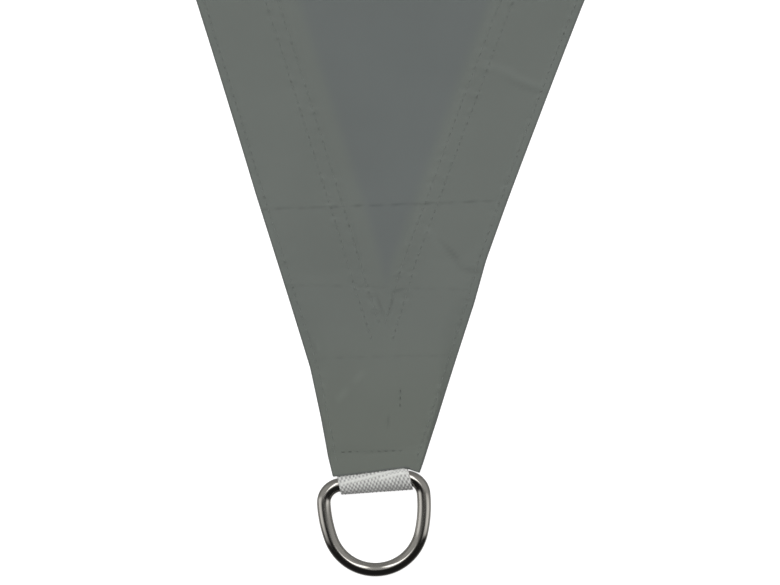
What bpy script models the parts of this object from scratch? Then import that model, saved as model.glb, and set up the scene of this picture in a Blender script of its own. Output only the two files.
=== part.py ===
"""A triangular shade sail laid out flat, face up.

One cloth with sewn hems and hollow edges, and at each of its three corners a webbing loop that is sewn into
the cloth and holds a steel D ring. Metres, +Z up, with the corner that the photograph shows towards -Y.

A corner has its own frame: its origin is the outer end of its ring, "along" runs from there to the middle of
the sail, and "across" runs to the right of that.
"""

import math
from collections import namedtuple

import bmesh
import bpy
import numpy as np
from mathutils import Matrix, Vector

MM = 0.001
GAP = 0.3 * MM  # between pieces that touch

# The sail's outline: an equilateral triangle between the ring ends, with its edges cut hollow
SIDE = 3.0
EDGE_HOLLOW = 0.17
HALF_CORNER = math.radians(30)
TO_MIDDLE = SIDE / math.sqrt(3)

# The cloth
CLOTH = 1.0 * MM
HEM = 50 * MM
HEM_STEP = 6 * MM  # the slope from the hem's layers down to the single one
MOST_THICK = 16 * MM  # the thickness that a vertex weight of 1 stands for

# The ring: wire bent to a D, its bow an arc about the ring's own origin, its bar towards the cloth
WIRE_RADIUS = 4.0 * MM
WIRE_SIDES = 12
BOW_RADIUS = 27.5 * MM
BOW_HALF = math.radians(74)
SIDE_RADIUS = 74 * MM
SHOULDER_RADIUS = 10.5 * MM
BAR_FROM_BOW = 24.5 * MM
BOW_STEPS = 19  # an odd number, so the bow's end is a short flat
SIDE_STEPS = 4
SHOULDER_STEPS = 7

# The webbing strip: laid round the bar, with its two ends flat on each other in a pocket of the cloth
WEB_THICK = 1.6 * MM
WEB_HALF = 20.8 * MM
WEB_LEG = 19 * MM
LOWER_LEG = 11 * MM
WEB_TAIL = 18 * MM
WEB_COLUMNS = 13
WRAP_STEPS = 14
LEG_STEPS = 8

# The pocket that it lies in
POCKET_FLOOR = 1.5 * MM
POCKET_ROOF = 1.3 * MM
POCKET_AHEAD = 14 * MM  # how far the pocket's cutter reaches past the bar, and how far below the cloth
POCKET_BELOW = 2 * MM
LEG_SLOPE_ROOM = 0.25 * MM

BAR_HEIGHT = WEB_THICK + GAP + WIRE_RADIUS
RING_LEAN = math.asin((BAR_HEIGHT - WIRE_RADIUS) / (BAR_FROM_BOW + BOW_RADIUS))
RING_HEIGHT = WIRE_RADIUS + BOW_RADIUS * math.sin(RING_LEAN)
WRAP_RADIUS = WIRE_RADIUS + GAP + WEB_THICK / 2
TAIL_HEIGHT = POCKET_FLOOR + GAP + WEB_THICK + GAP / 2
LEG_RISE = BAR_HEIGHT + WRAP_RADIUS - TAIL_HEIGHT - WEB_THICK / 2 - GAP / 2
COVER_AT_TAIL = TAIL_HEIGHT + GAP / 2 + WEB_THICK + GAP + POCKET_ROOF

# How much wider than its true curve the cloth is sewn, on each side, by the distance from the ring's end
Spread = namedtuple("Spread", "from_end left right")
SPREAD_SHOWN = [
    Spread(0.058, 7.2 * MM, 5.5 * MM),
    Spread(0.071, 6.8 * MM, 5.7 * MM),
    Spread(0.094, 4.4 * MM, 5.1 * MM),
    Spread(0.124, 2.0 * MM, 3.8 * MM),
    Spread(0.166, 2.3 * MM, 2.1 * MM),
    Spread(0.192, 2.5 * MM, -0.2 * MM),
    Spread(0.228, 2.7 * MM, -0.8 * MM),
    Spread(0.348, 0.8 * MM, -1.5 * MM),
    Spread(0.560, 0.0, 0.0),
]
SPREAD_PLAIN = [
    Spread(0.060, 6.4 * MM, 6.4 * MM),
    Spread(0.090, 5.0 * MM, 5.0 * MM),
    Spread(0.124, 3.0 * MM, 3.0 * MM),
    Spread(0.166, 1.2 * MM, 1.2 * MM),
    Spread(0.228, 0.0, 0.0),
]

# Creases straight across a corner, and how much further from the ring each one meets the right edge
Crease = namedtuple("Crease", "from_end slant height")
CREASES_SHOWN = [
    Crease(0.132, 2.3 * MM, 0.5 * MM),
    Crease(0.174, 0.0, 0.4 * MM),
    Crease(0.224, 5.0 * MM, 0.8 * MM),
]
CREASES_PLAIN = [Crease(0.135, 0.0, 0.4 * MM), Crease(0.224, 0.0, 0.6 * MM)]
CREASE_HALF = 6 * MM
SLANT_END = 0.33  # from here on the rows meet both edges alike

# The three corners. The mouth is where the cloth ends over the webbing.
Corner = namedtuple(
    "Corner",
    "name heading ring_turn ring_shift bar_slant web_lean web_shift mouth mouth_slant mouth_peak "
    "spread creases",
)
CORNERS = [
    Corner("front", math.radians(-90), math.radians(5.4), 0.1 * MM, math.radians(3), math.radians(6),
           1.1 * MM, 0.0614, 2.1 * MM, 3.2 * MM, SPREAD_SHOWN, CREASES_SHOWN),
    Corner("right", math.radians(30), 0.0, 0.0, 0.0, 0.0, 0.0, 0.0613, 0.0, 0.0, SPREAD_PLAIN, CREASES_PLAIN),
    Corner("left", math.radians(150), 0.0, 0.0, 0.0, 0.0, 0.0, 0.0613, 0.0, 0.0, SPREAD_PLAIN, CREASES_PLAIN),
]
PEAK_AT = 0.7  # of the half mouth, to the right
MOUTH_FADE = 60 * MM

# The cloth over the webbing: how it comes down at its sides and beyond the webbing's end
MOUTH_SIDE = 0.88  # the share of the cover's height that the cloth's side has at the mouth
SEWN_FLAT = 26 * MM  # the distance from the mouth at which the sides are down to the hem's layers
SIDE_RISE = 3.4 * MM
SIDE_RISE_AT_MOUTH = 1.0 * MM
SIDE_LAYERS = 3
TAIL_ROOM = 4 * MM
COVER_RUN_OUT = 40 * MM

# Low soft folds where the sail doesn't lie quite flat, from the middle of the sail
Fold = namedtuple("Fold", "x0 y0 x1 y1 half_width height")
FOLDS = [
    Fold(-0.04, -1.28, -0.13, -0.42, 0.15, 8 * MM),
    Fold(0.14, -1.02, 0.46, -0.26, 0.14, 6 * MM),
    Fold(1.12, 0.67, 0.28, 0.12, 0.16, 9 * MM),
    Fold(0.98, 0.43, 0.52, -0.18, 0.13, 5 * MM),
    Fold(-1.14, 0.65, -0.38, 0.26, 0.15, 8 * MM),
    Fold(-0.96, 0.36, -0.44, -0.24, 0.14, 6 * MM),
    Fold(-0.42, 0.58, 0.38, 0.50, 0.13, 7 * MM),
]

# The cloth's grid: rows from the mouth to the middle of the sail, columns from each edge to the corner's axis
NEAR_ROWS = np.array([0, 3, 6, 9, 12, 16, 20, 25, 31, 37, 43, 52, 62]) * MM
FAR_ROWS = [0.153, 0.199, 0.25, 0.285, 0.33, 0.38, 0.45, 0.53, 0.61, 0.69, 0.78, 0.87, 0.96, 1.05, 1.14,
            1.23, 1.32, 1.41, 1.5]
EDGE_COLUMNS = np.array([0, 3, 9, 28, 47, 53]) * MM
EDGE_SHARE = 0.7
INNER_COLUMNS = 7
BEND_START = 0.25

COLOURS = {
    "cloth": ((0.13, 0.14, 0.13, 1), 0.85, 0.0),
    "webbing": ((0.72, 0.71, 0.69, 1), 0.75, 0.0),
    "steel": ((0.58, 0.57, 0.55, 1), 0.16, 1.0),
}


def ease(share):
    """0 to 1 along half a cosine wave, level at both ends."""
    return (1 - np.cos(np.pi * np.clip(share, 0, 1))) / 2


def new_collection(name):
    collection = bpy.data.collections.new(name)
    bpy.context.scene.collection.children.link(collection)
    return collection


def new_material(name):
    colour, roughness, metallic = COLOURS[name]
    material = bpy.data.materials.new(name)
    material.use_nodes = True
    shader = material.node_tree.nodes["Principled BSDF"]
    shader.inputs["Base Color"].default_value = colour
    shader.inputs["Roughness"].default_value = roughness
    shader.inputs["Metallic"].default_value = metallic
    return material


def add_object(name, data, collection, material=None, parent=None):
    obj = bpy.data.objects.new(name, data)
    obj.parent = parent
    collection.objects.link(obj)
    if material:
        data.materials.append(material)
    return obj


def as_mesh(curve_object):
    """The same shape as a closed mesh object, in the curve's place."""
    bpy.context.view_layer.update()
    graph = bpy.context.evaluated_depsgraph_get()
    mesh = bpy.data.meshes.new_from_object(curve_object.evaluated_get(graph))
    shape = bmesh.new()
    shape.from_mesh(mesh)
    bmesh.ops.remove_doubles(shape, verts=shape.verts, dist=1e-6)
    bmesh.ops.recalc_face_normals(shape, faces=shape.faces)
    shape.to_mesh(mesh)
    shape.free()
    name, place = curve_object.name, curve_object.matrix_world.copy()
    collection, parent = curve_object.users_collection[0], curve_object.parent
    bpy.data.objects.remove(curve_object)
    solid = add_object(name, mesh, collection, parent=parent)
    solid.matrix_world = place
    return solid


def corner_place(corner):
    """The corner's frame, in the frame of the middle of the sail."""
    turn = corner.heading + math.pi / 2
    tip = Vector((math.cos(corner.heading), math.sin(corner.heading), 0)) * TO_MIDDLE
    return Matrix.Translation(tip) @ Matrix.Rotation(turn, 4, "Z")


def ring_place(corner):
    """The ring's own frame, about which its bow is bent."""
    centre = Vector((corner.ring_shift, WIRE_RADIUS + BOW_RADIUS, RING_HEIGHT))
    turn = Matrix.Rotation(corner.ring_turn, 4, "Z") @ Matrix.Rotation(RING_LEAN, 4, "X")
    return corner_place(corner) @ Matrix.Translation(centre) @ turn


def bar_place(corner):
    """A level frame at the middle of the ring's bar and in line with it, in the corner's frame."""
    centre = Vector((corner.ring_shift, WIRE_RADIUS + BOW_RADIUS, 0))
    turn = Matrix.Rotation(corner.ring_turn, 4, "Z")
    bar = Matrix.Translation((0, BAR_FROM_BOW, 0)) @ Matrix.Rotation(corner.bar_slant, 4, "Z")
    return Matrix.Translation(centre) @ turn @ bar


# The ring


def side_centre():
    """The middle of the right side's arc, which runs on from the bow's."""
    reach = SIDE_RADIUS - BOW_RADIUS
    return -reach * math.sin(BOW_HALF), reach * math.cos(BOW_HALF)


def shoulder_centre(slant):
    """The middle of the right shoulder's arc and the angle where it leaves the side's arc.

    It runs into the bar, whose right end is bent up by the slant.
    """
    side_x, side_y = side_centre()
    reach = SIDE_RADIUS - SHOULDER_RADIUS
    side_to_bar = (BAR_FROM_BOW - side_y) * math.cos(slant) + side_x * math.sin(slant)
    side_top = slant + math.asin((side_to_bar - SHOULDER_RADIUS) / reach)
    return (side_x + reach * math.cos(side_top), side_y + reach * math.sin(side_top)), side_top


def straight_half(slant):
    """The bar's length from its middle to where the right shoulder begins."""
    (x, y), _ = shoulder_centre(slant)
    return x * math.cos(slant) + (y - BAR_FROM_BOW) * math.sin(slant)


def half_line(slant):
    """The right half of the wire's middle line, from the bow's end up to the bar."""
    shoulder, side_top = shoulder_centre(slant)
    bow_end = BOW_HALF - math.pi / 2
    step = 2 * BOW_HALF / BOW_STEPS
    arcs = [
        ((0, 0), BOW_RADIUS, np.arange(step / 2, BOW_HALF - step / 2, step) - math.pi / 2),
        (side_centre(), SIDE_RADIUS, np.linspace(bow_end, side_top, SIDE_STEPS + 1)[:-1]),
        (shoulder, SHOULDER_RADIUS, np.linspace(side_top, slant + math.pi / 2, SHOULDER_STEPS + 1)),
    ]
    return np.concatenate(
        [np.column_stack([x + radius * np.cos(a), y + radius * np.sin(a)]) for (x, y), radius, a in arcs]
    )


def wire_curve(name, radius, slant):
    """The ring's wire. Its left half mirrors a right half whose bar slants the other way."""
    points = np.concatenate([half_line(slant), half_line(-slant)[::-1] * [-1, 1]])
    curve = bpy.data.curves.new(name, "CURVE")
    curve.dimensions = "3D"
    curve.bevel_depth = radius
    curve.bevel_resolution = (WIRE_SIDES - 4) // 2
    spline = curve.splines.new("POLY")
    spline.points.add(len(points) - 1)
    for point, (x, y) in zip(spline.points, points):
        point.co = (x, y, 0, 1)
        point.tilt = math.pi / WIRE_SIDES  # a flat of the wire faces the middle of the ring
    spline.use_cyclic_u = True
    spline.use_smooth = True
    return curve


# The webbing


def web_lean(corner):
    """A shear that takes the webbing to the left, the further from the bar the more."""
    lean = Matrix.Identity(4)
    lean[0][1] = -math.tan(corner.web_lean)
    return lean


def leg_height(from_bar):
    """The middle of the upper leg's thickness, above the middle of the pocket's webbing."""
    return GAP / 2 + WEB_THICK / 2 + LEG_RISE * (1 - ease(from_bar / WEB_LEG))


def strip_section(corner, across):
    """The strip's line round the bar in the plane at this place across: along and height, in rows."""
    # Where the bar bends into a shoulder, the strip's inner face leans out along it
    straight = straight_half(math.copysign(corner.bar_slant, across))
    beyond = max(0.0, abs(across) + WEB_THICK - straight)
    middle, inside = (math.sqrt(r**2 - beyond**2) for r in (SHOULDER_RADIUS, SHOULDER_RADIUS - WIRE_RADIUS))
    centre = middle - SHOULDER_RADIUS
    reach = middle - inside + GAP + WEB_THICK / 2
    turn = np.radians(np.linspace(90, 270, WRAP_STEPS + 1))
    wrap = np.column_stack([centre + reach * np.cos(turn), BAR_HEIGHT + WRAP_RADIUS * np.sin(turn)])
    share = np.concatenate([np.linspace(0, 1, LEG_STEPS + 1)[1:], [1 + WEB_TAIL / WEB_LEG]])
    along = centre * np.clip(1 - share, 0, 1) + WEB_LEG * share
    upper = TAIL_HEIGHT + leg_height(WEB_LEG * share)
    low_at_bar, low_at_tail = BAR_HEIGHT - WRAP_RADIUS, TAIL_HEIGHT - GAP / 2 - WEB_THICK / 2
    lower = low_at_bar + (low_at_tail - low_at_bar) * ease(along / LOWER_LEG)
    return np.concatenate([np.column_stack([along, upper])[::-1], wrap, np.column_stack([along, lower])])


def webbing_mesh(corner, name):
    """An open strip round the bar, in the corner's frame."""
    shape = bmesh.new()
    place = bar_place(corner) @ web_lean(corner)
    rows = []
    for across in corner.web_shift + np.linspace(-WEB_HALF, WEB_HALF, WEB_COLUMNS):
        section = strip_section(corner, across)
        rows.append([shape.verts.new(place @ Vector((across, along, height))) for along, height in section])
    for left, right in zip(rows, rows[1:]):
        for k in range(len(left) - 1):
            shape.faces.new((left[k], left[k + 1], right[k + 1], right[k]))
    mesh = bpy.data.meshes.new(name)
    shape.to_mesh(mesh)
    shape.free()
    mesh.shade_smooth()
    return mesh


# The cloth


def edge_point(corner, from_end, side):
    """Across and along of the hollow edge on this side (-1 left, 1 right)."""
    inset = 4 * EDGE_HOLLOW * (from_end / SIDE) * (1 - from_end / SIDE)
    table = [row.left if side < 0 else row.right for row in corner.spread]
    spread = np.interp(from_end, [row.from_end for row in corner.spread], table)
    across = from_end * math.sin(HALF_CORNER) - inset * math.cos(HALF_CORNER) + spread
    along = from_end * math.cos(HALF_CORNER) + inset * math.sin(HALF_CORNER)
    return np.array([side * across, along])


def row_places(corner):
    """The rows' distances from the ring's end: close together at the mouth and three to a crease."""
    near = corner.mouth + NEAR_ROWS
    creased = [crease.from_end + k * CREASE_HALF for crease in corner.creases for k in (-1, 0, 1)]
    far = [place for place in FAR_ROWS if all(abs(place - c) > CREASE_HALF for c in creased)]
    return sorted(np.concatenate([near, creased, far]))


def row_slant(corner, from_end):
    """How much further from the ring this row meets the right edge than its own middle."""
    places = [corner.mouth] + [crease.from_end for crease in corner.creases] + [SLANT_END]
    slants = [corner.mouth_slant] + [crease.slant for crease in corner.creases] + [0]
    return np.interp(from_end, places, slants)


def half_row(edge, middle, side):
    """Places on one half of a row from its edge to its middle, and their share of the way out, signed."""
    length = np.linalg.norm(middle - edge)
    hem = EDGE_COLUMNS * min(1, EDGE_SHARE * length / EDGE_COLUMNS[-1])
    inner = np.linspace(hem[-1], length, INNER_COLUMNS + 1)[1:]
    from_edge = np.concatenate([hem, inner])
    places = edge + (middle - edge) * (from_edge / length)[:, None]
    return places, side * (1 - from_edge / length)


def cloth_row(corner, from_end):
    """One row of the cloth: across, along, and the distances from the two edges."""
    slant = row_slant(corner, from_end)
    left = edge_point(corner, from_end - slant, -1)
    right = edge_point(corner, from_end + slant, 1)
    # Rows are straight near the corner and bend to reach the middle of the sail with the last one
    bend = max(0, (2 * from_end / SIDE - BEND_START) / (1 - BEND_START)) ** 2
    last = edge_point(corner, SIDE / 2, 1)
    middle = (left + right) / 2 + [0, bend * (TO_MIDDLE - last[1])]
    places_left, v_left = half_row(left, middle, -1)
    places_right, v_right = half_row(right, middle, 1)
    places = np.concatenate([places_left, places_right[-2::-1]])
    v = np.concatenate([v_left, v_right[-2::-1]])
    from_left = np.linalg.norm(places - left, axis=1)
    from_right = np.linalg.norm(places - right, axis=1)
    fade = max(0, 1 - (from_end - corner.mouth) / MOUTH_FADE)
    places[:, 1] += fade * np.interp(v, (-1, PEAK_AT, 1), (0, corner.mouth_peak, 0))
    return places, from_left, from_right


def hem_layers(from_edge):
    """1 on the hem, 0 inside it, with a short slope between."""
    return 1 - ease((from_edge - HEM) / HEM_STEP + 0.5)


def cover_height(from_bar):
    """The top of the cloth over the webbing, level over its flat ends and then down to nothing."""
    over_leg = COVER_AT_TAIL + LEG_RISE * (1 - ease(from_bar / WEB_LEG))
    return over_leg * (1 - ease((from_bar - WEB_LEG - WEB_TAIL - TAIL_ROOM) / COVER_RUN_OUT))


def thickness(corner, from_end, places, from_left, from_right):
    """The cloth's thickness on one row, from its layers and from the webbing inside it."""
    layers = CLOTH * (1 + hem_layers(from_left) + hem_layers(from_right))
    to_bar = np.array(bar_place(corner).inverted())
    from_bar = places @ to_bar[1, :2] + to_bar[1, 3]
    # The cloth closes round the webbing at the mouth, and further in its edges are sewn flat
    closed = 1 - ease((from_end - corner.mouth) / SEWN_FLAT)
    rise = SIDE_RISE + (SIDE_RISE_AT_MOUTH - SIDE_RISE) * closed
    from_edge = np.minimum(from_left, from_right)
    side = MOUTH_SIDE * closed + (1 - MOUTH_SIDE * closed) * ease(from_edge / rise)
    side_height = SIDE_LAYERS * CLOTH
    cover = side_height + (cover_height(from_bar) - side_height) * side
    return np.maximum(layers, cover)


def fold_height(x, y):
    """The height of the sail's underside over the surface, from its soft folds."""
    height = np.zeros_like(x)
    for fold in FOLDS:
        start, run = np.array([fold.x0, fold.y0]), np.array([fold.x1 - fold.x0, fold.y1 - fold.y0])
        share = ((x - start[0]) * run[0] + (y - start[1]) * run[1]) / (run @ run)
        off = ((x - start[0]) * run[1] - (y - start[1]) * run[0]) / np.linalg.norm(run)
        height += fold.height * np.clip(1 - (off / fold.half_width) ** 2, 0, None) ** 2 * (
            np.sin(np.pi * np.clip(share, 0, 1)) ** 2
        )
    return height


def cloth_mesh():
    """The cloth's underside as an open surface, with its thickness as a vertex group's weight."""
    shape = bmesh.new()
    weight = shape.verts.layers.deform.verify()
    for corner in CORNERS:
        place = np.array(corner_place(corner))
        crested = {crease.from_end: crease.height for crease in corner.creases}
        rows = []
        for from_end in row_places(corner):
            places, from_left, from_right = cloth_row(corner, from_end)
            thick = thickness(corner, from_end, places, from_left, from_right)
            x, y = (places @ place[:2, :2].T + place[:2, 3]).T
            height = fold_height(x, y) + crested.get(from_end, 0)
            verts = [shape.verts.new(point) for point in zip(x, y, height)]
            for vert, share in zip(verts, thick / MOST_THICK):
                vert[weight][0] = share
            rows.append(verts)
        for near, far in zip(rows, rows[1:]):
            for k in range(len(near) - 1):
                shape.faces.new((near[k], near[k + 1], far[k + 1], far[k]))
    bmesh.ops.remove_doubles(shape, verts=shape.verts, dist=1e-6)
    mesh = bpy.data.meshes.new("sail_cloth")
    shape.to_mesh(mesh)
    shape.free()
    mesh.shade_smooth()
    return mesh


def pocket_outline():
    """The side view of the webbing's and the bar's space in the cloth: along and height, from the bar."""
    leg = np.linspace(0, WEB_LEG, LEG_STEPS + 1)
    # The leg's slope makes it thicker measured straight up, so its roof is a little higher
    slope_room = LEG_SLOPE_ROOM * np.sin(np.pi * leg / WEB_LEG)
    roof = TAIL_HEIGHT + leg_height(leg) + WEB_THICK / 2 + GAP + slope_room
    tail_end = WEB_LEG + WEB_TAIL + GAP
    return [
        (-POCKET_AHEAD, roof[0]),
        *zip(leg, roof),
        (tail_end, roof[-1]),
        (tail_end, POCKET_FLOOR),
        (LOWER_LEG, POCKET_FLOOR),
        (LOWER_LEG, -POCKET_BELOW),
        (-POCKET_AHEAD, -POCKET_BELOW),
    ]


def pocket_cutter(corner, collection, parent):
    curve = bpy.data.curves.new(f"pocket_{corner.name}", "CURVE")
    curve.dimensions = "2D"
    curve.fill_mode = "BOTH"
    curve.extrude = WEB_HALF + 2 * GAP
    points = pocket_outline()
    spline = curve.splines.new("POLY")
    spline.points.add(len(points) - 1)
    for point, (along, height) in zip(spline.points, points):
        point.co = (along, height, 0, 1)
    spline.use_cyclic_u = True
    cutter = as_mesh(add_object(f"pocket_{corner.name}", curve, collection, parent=parent))
    upright = Matrix(((0, 0, 1, corner.web_shift), (1, 0, 0, 0), (0, 1, 0, 0), (0, 0, 0, 1)))
    cutter.data.transform(corner_place(corner) @ bar_place(corner) @ web_lean(corner) @ upright)
    return cutter


def ring_cutter(corner, collection, parent):
    """Room for the ring, where the cloth's mouth comes down beside the webbing."""
    name = f"room_for_ring_{corner.name}"
    curve = wire_curve(name, WIRE_RADIUS + 2 * GAP, corner.bar_slant)
    cutter = as_mesh(add_object(name, curve, collection, parent=parent))
    cutter.data.transform(ring_place(corner))
    return cutter


def build():
    for obj in list(bpy.data.objects):
        bpy.data.objects.remove(obj)
    parts, cutters = new_collection("shade_sail"), new_collection("cutters")
    whole = add_object("shade_sail", None, parts)

    cloth = add_object("sail_cloth", cloth_mesh(), parts, new_material("cloth"), whole)
    cloth.vertex_groups.new(name="layers")
    layers = cloth.modifiers.new("layers", "SOLIDIFY")
    layers.thickness = MOST_THICK
    layers.offset = 1
    layers.vertex_group = "layers"
    for corner in CORNERS:
        for cutter in (pocket_cutter(corner, cutters, whole), ring_cutter(corner, cutters, whole)):
            cutter.hide_render = True
            cutter.display_type = "WIRE"
            cut = cloth.modifiers.new(cutter.name, "BOOLEAN")
            cut.object = cutter

    webbing_look, steel = new_material("webbing"), new_material("steel")
    rings = []
    for corner in CORNERS:
        name = f"webbing_{corner.name}"
        webbing = add_object(name, webbing_mesh(corner, name), parts, webbing_look, whole)
        webbing.matrix_local = corner_place(corner)
        strip = webbing.modifiers.new("strip", "SOLIDIFY")
        strip.thickness = WEB_THICK
        strip.offset = 0
        strip.use_even_offset = True

        name = f"ring_{corner.name}"
        ring = add_object(name, wire_curve(name, WIRE_RADIUS, corner.bar_slant), parts, steel, whole)
        ring.matrix_local = ring_place(corner)
        rings.append(ring)

    # The rings reach furthest on every side, so the middle of their box is the middle of the whole
    bpy.context.view_layer.update()
    graph = bpy.context.evaluated_depsgraph_get()
    points = np.array(
        [ring.matrix_world @ vert.co for ring in rings for vert in ring.evaluated_get(graph).to_mesh().vertices]
    )
    middle = (points.min(axis=0) + points.max(axis=0)) / 2
    whole.location = (-middle[0], -middle[1], 0)


build()
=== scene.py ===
import math

import bmesh
import bpy
import numpy as np
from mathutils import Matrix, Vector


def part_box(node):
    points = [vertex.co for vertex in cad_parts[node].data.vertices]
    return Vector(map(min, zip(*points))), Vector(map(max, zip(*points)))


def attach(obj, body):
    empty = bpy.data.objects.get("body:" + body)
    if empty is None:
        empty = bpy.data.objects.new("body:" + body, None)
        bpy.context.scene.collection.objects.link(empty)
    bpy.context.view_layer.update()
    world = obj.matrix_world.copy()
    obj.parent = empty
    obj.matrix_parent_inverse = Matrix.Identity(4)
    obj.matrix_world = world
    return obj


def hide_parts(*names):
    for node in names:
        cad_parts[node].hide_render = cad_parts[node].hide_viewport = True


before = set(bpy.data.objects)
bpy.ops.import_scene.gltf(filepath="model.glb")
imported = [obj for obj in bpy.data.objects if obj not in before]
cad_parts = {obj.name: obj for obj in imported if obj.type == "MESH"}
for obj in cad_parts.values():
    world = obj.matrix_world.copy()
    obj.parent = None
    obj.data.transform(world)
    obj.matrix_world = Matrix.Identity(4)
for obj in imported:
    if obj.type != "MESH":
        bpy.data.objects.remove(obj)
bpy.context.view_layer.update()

# --------------------------------------------------------------------------------
# The D rings
# Each corner ends in a D ring: 8 mm stainless wire bent into a closed ring and polished. Its straight
# bar lies in the webbing's loop, and a hook or shackle pulls on the bow.

MM = 0.001
GAP = 0.3 * MM  # between pieces that touch
SIDE = 3.0  # of the triangle between the rings' outer ends
TO_MIDDLE = SIDE / math.sqrt(3)
HEADING = {"front": math.radians(-90), "right": math.radians(30), "left": math.radians(150)}

WIRE_RADIUS = 4.0 * MM
BOW_RADIUS = 27.5 * MM
BOW_HALF = math.radians(74)
SIDE_RADIUS = 74 * MM
SHOULDER_RADIUS = 10.5 * MM
BAR_FROM_BOW = 24.5 * MM
WEB_THICK = 1.6 * MM
RING_TURN = {"front": math.radians(5.4), "right": 0.0, "left": 0.0}
RING_SHIFT = {"front": 0.1 * MM, "right": 0.0, "left": 0.0}
BAR_SLANT = {"front": math.radians(3), "right": 0.0, "left": 0.0}

BAR_HEIGHT = WEB_THICK + GAP + WIRE_RADIUS
RING_LEAN = math.asin((BAR_HEIGHT - WIRE_RADIUS) / (BAR_FROM_BOW + BOW_RADIUS))
RING_HEIGHT = WIRE_RADIUS + BOW_RADIUS * math.sin(RING_LEAN)
MIDDLE_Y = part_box("ring_front")[0].y + TO_MIDDLE

WIRE_FACETS = 40
RING_STEPS = {"bow": 64, "side": 24, "shoulder": 28, "bar": 10}

STEEL = "#CDCAC4"
FINE_SCRATCH = 0.35 * MM  # drawn coarser than the real polishing marks, which are too fine to show


def linear(colour):
    """An sRGB hex colour as linear red, green, blue and alpha: each part is bent by the screen's curve."""
    parts = np.array([int(colour[k : k + 2], 16) for k in (1, 3, 5)]) / 255
    bent = np.where(parts <= 0.04045, parts / 12.92, ((parts + 0.055) / 1.055) ** 2.4)
    return (*bent.tolist(), 1.0)


def add_node(tree, kind, inputs=(), **settings):
    """Adds one node with its settings. inputs pairs a socket's name or number with a value or a socket."""
    node = tree.nodes.new(kind)
    for name, value in settings.items():
        setattr(node, name, value)
    for socket, value in dict(inputs).items():
        if isinstance(value, bpy.types.NodeSocket):
            tree.links.new(value, node.inputs[socket])
        else:
            node.inputs[socket].default_value = value
    return node


def new_finish(name):
    """A new material, its node tree, and the shader in it."""
    finish = bpy.data.materials.new(name)
    finish.use_nodes = True
    return finish, finish.node_tree, finish.node_tree.nodes["Principled BSDF"]


def noise(tree, size, detail):
    """Soft noise from 0 to 1 by the place on the object, with features of about this size."""
    place = add_node(tree, "ShaderNodeTexCoord").outputs["Object"]
    inputs = {"Vector": place, "Scale": 1 / size, "Detail": detail}
    return add_node(tree, "ShaderNodeTexNoise", inputs).outputs["Fac"]


def stretched(tree, value, low, high):
    """A noise's middle part, from 0.3 to 0.7, stretched to run from low to high."""
    inputs = {"Value": value, "From Min": 0.3, "From Max": 0.7, "To Min": low, "To Max": high}
    return add_node(tree, "ShaderNodeMapRange", inputs).outputs["Result"]


def roughen(tree, shader, height, strength, depth):
    """Relief too fine for the mesh: it turns the way the surface faces by the slope of this height."""
    bump = add_node(tree, "ShaderNodeBump", {"Height": height, "Strength": strength, "Distance": depth})
    tree.links.new(bump.outputs["Normal"], shader.inputs["Normal"])


def grid_faces(rows, columns, ring=False):
    """Four-sided faces between the neighbours of a grid of points. A ring's last column meets its first."""
    row = np.arange(rows - 1)[:, None]
    column = np.arange(columns if ring else columns - 1)[None, :]
    beside = (column + 1) % columns
    corners = [row * columns + column, row * columns + beside, (row + 1) * columns + beside,
               (row + 1) * columns + column]
    return np.stack(corners, axis=-1).reshape(-1, 4)


def add_piece(name, points, faces, finish, values=None):
    """A smooth mesh object of these points and of the faces in each array, with one value a point by name."""
    mesh = bpy.data.meshes.new(name)
    points = np.asarray(points, float).reshape(-1, 3)
    mesh.vertices.add(len(points))
    mesh.vertices.foreach_set("co", points.ravel())
    sizes = np.concatenate([np.full(len(part), part.shape[1]) for part in faces])
    mesh.loops.add(int(sizes.sum()))
    mesh.loops.foreach_set("vertex_index", np.concatenate([part.ravel() for part in faces]))
    mesh.polygons.add(len(sizes))
    mesh.polygons.foreach_set("loop_start", np.concatenate([[0], np.cumsum(sizes)[:-1]]))
    for label, value in (values or {}).items():
        mesh.attributes.new(label, "FLOAT", "POINT").data.foreach_set("value", np.ravel(value))
    mesh.update(calc_edges=True)
    mesh.shade_smooth()
    mesh.materials.append(finish)
    piece = bpy.data.objects.new(name, mesh)
    bpy.context.scene.collection.objects.link(piece)
    return piece


def turned(points, angle, axis):
    """Points turned about the Z axis (2) or the X axis (0): the other two parts mix by sine and cosine."""
    first, second = (axis + 1) % 3, (axis + 2) % 3
    out = np.array(points, float)
    out[..., first] = points[..., first] * math.cos(angle) - points[..., second] * math.sin(angle)
    out[..., second] = points[..., first] * math.sin(angle) + points[..., second] * math.cos(angle)
    return out


def in_corner(name, points):
    """From a corner's frame, whose origin is its ring's outer end, to the sail's: one turn and one shift."""
    heading = HEADING[name]
    end = np.array([math.cos(heading) * TO_MIDDLE, math.sin(heading) * TO_MIDDLE + MIDDLE_Y, 0])
    return turned(points, heading + math.pi / 2, 2) + end


def shoulder_arc(slant):
    """The middle of the side's arc and of the right shoulder's, the angle at which they join, and how far the
    straight bar runs from its middle. The shoulder touches the side's arc and the bar, whose right end is
    raised by the slant."""
    reach = SIDE_RADIUS - BOW_RADIUS
    side_x, side_y = -reach * math.sin(BOW_HALF), reach * math.cos(BOW_HALF)
    side_to_bar = (BAR_FROM_BOW - side_y) * math.cos(slant) + side_x * math.sin(slant)
    joint = slant + math.asin((side_to_bar - SHOULDER_RADIUS) / (SIDE_RADIUS - SHOULDER_RADIUS))
    x = side_x + (SIDE_RADIUS - SHOULDER_RADIUS) * math.cos(joint)
    y = side_y + (SIDE_RADIUS - SHOULDER_RADIUS) * math.sin(joint)
    straight = x * math.cos(slant) + (y - BAR_FROM_BOW) * math.sin(slant)
    return (side_x, side_y), (x, y), joint, straight


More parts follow.
